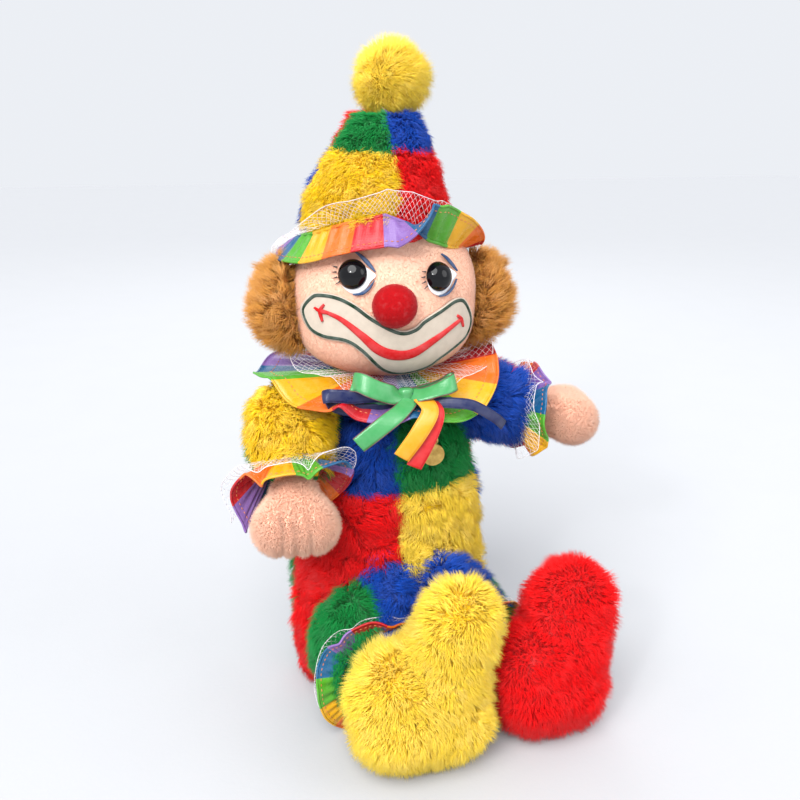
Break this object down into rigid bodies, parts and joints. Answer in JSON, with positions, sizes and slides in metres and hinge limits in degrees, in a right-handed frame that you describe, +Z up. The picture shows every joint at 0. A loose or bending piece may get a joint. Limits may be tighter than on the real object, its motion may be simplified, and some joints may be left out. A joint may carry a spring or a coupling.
{
  "type": "hand puppet",
  "caption": "Seated plush clown glove puppet with patchwork fur suit, cone hat, ruffles and big boots; head, arms, wrists, legs and feet hinge at their seams.",
  "frame": {"origin": "on the flat seat under the torso, on the surface that the puppet sits on", "axes": "+Z up, the puppet faces -Y, its left hand is towards +X"},
  "size_m": [0.2296, 0.1916, 0.3885],
  "materials": {
    "blue_fur": "long pile",
    "green_fur": "long pile",
    "red_fur": "long pile",
    "yellow_fur": "long pile",
    "ginger_fur": "long pile",
    "peach_plush": "short pile",
    "lining_cotton": "plain weave",
    "binding_tape": "folded tape",
    "rainbow_satin": "satin",
    "tulle": "open net",
    "green_satin": "satin",
    "navy_satin": "satin",
    "gold_satin": "satin",
    "red_satin": "satin",
    "brass_disc": "worn",
    "card_tube": "plain card",
    "fibre_fill": "loose fibre",
    "red_flock": "flocked",
    "eye_plastic": "polished",
    "cream_felt": "felt",
    "red_felt": "felt"
  },
  "bodies": {
    "torso": {"chest_patch_blue": "blue_fur", "chest_patch_green": "green_fur", "belly_patch_red": "red_fur", "belly_patch_yellow": "yellow_fur", "back_patch_yellow": "yellow_fur", "back_patch_red": "red_fur", "back_patch_green": "green_fur", "back_patch_blue": "blue_fur", "seat_panel": "blue_fur", "hand_lining": "lining_cotton", "wrist_binding": "binding_tape", "neck_ruffle": "rainbow_satin", "neck_tulle": "tulle", "green_bow": "green_satin", "navy_ribbon": "navy_satin", "gold_ribbon": "gold_satin", "red_ribbon": "red_satin"},
    "medallion": {"medallion": "brass_disc"},
    "neck_collar": {"neck_collar": "peach_plush"},
    "neck_tube": {"neck_tube": "card_tube"},
    "head": {"face_panel": "peach_plush", "head_back_panel": "peach_plush", "head_stuffing": "fibre_fill", "nose": "red_flock", "eye_right": "eye_plastic", "eye_left": "eye_plastic", "mouth_felt": "cream_felt", "smile_felt": "red_felt", "hair_right": "ginger_fur", "hair_left": "ginger_fur", "hat_patch_yellow": "yellow_fur", "hat_patch_red": "red_fur", "hat_patch_lower_blue": "blue_fur", "hat_patch_lower_green": "green_fur", "hat_patch_green": "green_fur", "hat_patch_blue": "blue_fur", "hat_patch_upper_red": "red_fur", "hat_patch_upper_yellow": "yellow_fur", "hat_stuffing": "fibre_fill", "hat_ruffle": "rainbow_satin", "hat_tulle": "tulle"},
    "pompom": {"pompom": "yellow_fur"},
    "shoulder_right": {"shoulder_ball_right": "lining_cotton"},
    "arm_right": {"sleeve_right_yellow": "yellow_fur", "sleeve_right_green": "green_fur", "cuff_ruffle_right": "rainbow_satin"},
    "hand_right": {"hand_right": "peach_plush"},
    "shoulder_left": {"shoulder_ball_left": "lining_cotton"},
    "arm_left": {"sleeve_left_blue": "blue_fur", "sleeve_left_red": "red_fur", "cuff_ruffle_left": "rainbow_satin"},
    "hand_left": {"hand_left": "peach_plush"},
    "leg_right": {"leg_right_green": "green_fur", "leg_right_blue": "blue_fur", "ankle_ruffle_right": "rainbow_satin"},
    "foot_right": {"foot_right": "yellow_fur"},
    "leg_left": {"leg_left_blue": "blue_fur", "leg_left_green": "green_fur", "ankle_ruffle_left": "rainbow_satin"},
    "foot_left": {"foot_left": "red_fur"}
  },
  "joints": [
    {"name": "head_tilt", "type": "hinge", "parent": "torso", "child": "neck_collar", "pos_m": [0.008, 0.01, 0.196], "axis": [0, 1, 0], "range_deg": [-10, 10]},
    {"name": "head_turn", "type": "hinge", "parent": "neck_collar", "child": "neck_tube", "pos_m": [0.008, 0.01, 0.196], "axis": [0, 0, 1], "range_deg": [-40, 40]},
    {"name": "head_nod", "type": "hinge", "parent": "neck_tube", "child": "head", "pos_m": [0.008, 0.01, 0.196], "axis": [1, 0, 0], "range_deg": [-16, 15]},
    {"name": "pompom_flop", "type": "hinge", "parent": "head", "child": "pompom", "pos_m": [0.009, 0.014, 0.3465], "axis": [1, 0, 0], "range_deg": [-25, 25]},
    {"name": "medallion_swing", "type": "hinge", "parent": "torso", "child": "medallion", "pos_m": [0.023, -0.043, 0.1745], "axis": [-1, 0, 0], "range_deg": [0, 60]},
    {"name": "arm_right_swing", "type": "hinge", "parent": "torso", "child": "shoulder_right", "pos_m": [-0.054, 0.001, 0.18], "axis": [0, 0, -1], "range_deg": [-2, 70]},
    {"name": "arm_right_raise", "type": "hinge", "parent": "shoulder_right", "child": "arm_right", "pos_m": [-0.054, 0.001, 0.18], "axis": [-0.9986, 0.0523, 0], "range_deg": [-2, 60]},
    {"name": "wrist_right", "type": "hinge", "parent": "arm_right", "child": "hand_right", "pos_m": [-0.05579, -0.03314, 0.14922], "axis": [-0.9986, 0.0523, 0], "range_deg": [-10, 30]},
    {"name": "arm_left_swing", "type": "hinge", "parent": "torso", "child": "shoulder_left", "pos_m": [0.057, 0.009, 0.18], "axis": [0, 0, -1], "range_deg": [-12, 32]},
    {"name": "arm_left_raise", "type": "hinge", "parent": "shoulder_left", "child": "arm_left", "pos_m": [0.057, 0.009, 0.18], "axis": [-0.0872, -0.9962, 0], "range_deg": [-10, 24]},
    {"name": "wrist_left", "type": "hinge", "parent": "arm_left", "child": "hand_left", "pos_m": [0.10182, 0.00508, 0.17044], "axis": [-0.0872, -0.9962, 0], "range_deg": [-25, 25]},
    {"name": "hip_right", "type": "hinge", "parent": "torso", "child": "leg_right", "pos_m": [-0.022, -0.028, 0.033], "axis": [0.9237, 0.3097, -0.2255], "range_deg": [-5, 80]},
    {"name": "ankle_right", "type": "hinge", "parent": "leg_right", "child": "foot_right", "pos_m": [-0.00768, -0.06958, 0.03454], "axis": [0.9455, 0.3256, 0], "range_deg": [-8, 12]},
    {"name": "hip_left", "type": "hinge", "parent": "torso", "child": "leg_left", "pos_m": [0.037, -0.025, 0.033], "axis": [0.8208, 0.5407, 0.1842], "range_deg": [-5, 80]},
    {"name": "ankle_left", "type": "hinge", "parent": "leg_left", "child": "foot_left", "pos_m": [0.06095, -0.06188, 0.03454], "axis": [0.8387, 0.5446, 0], "range_deg": [-8, 15]}
  ]
}
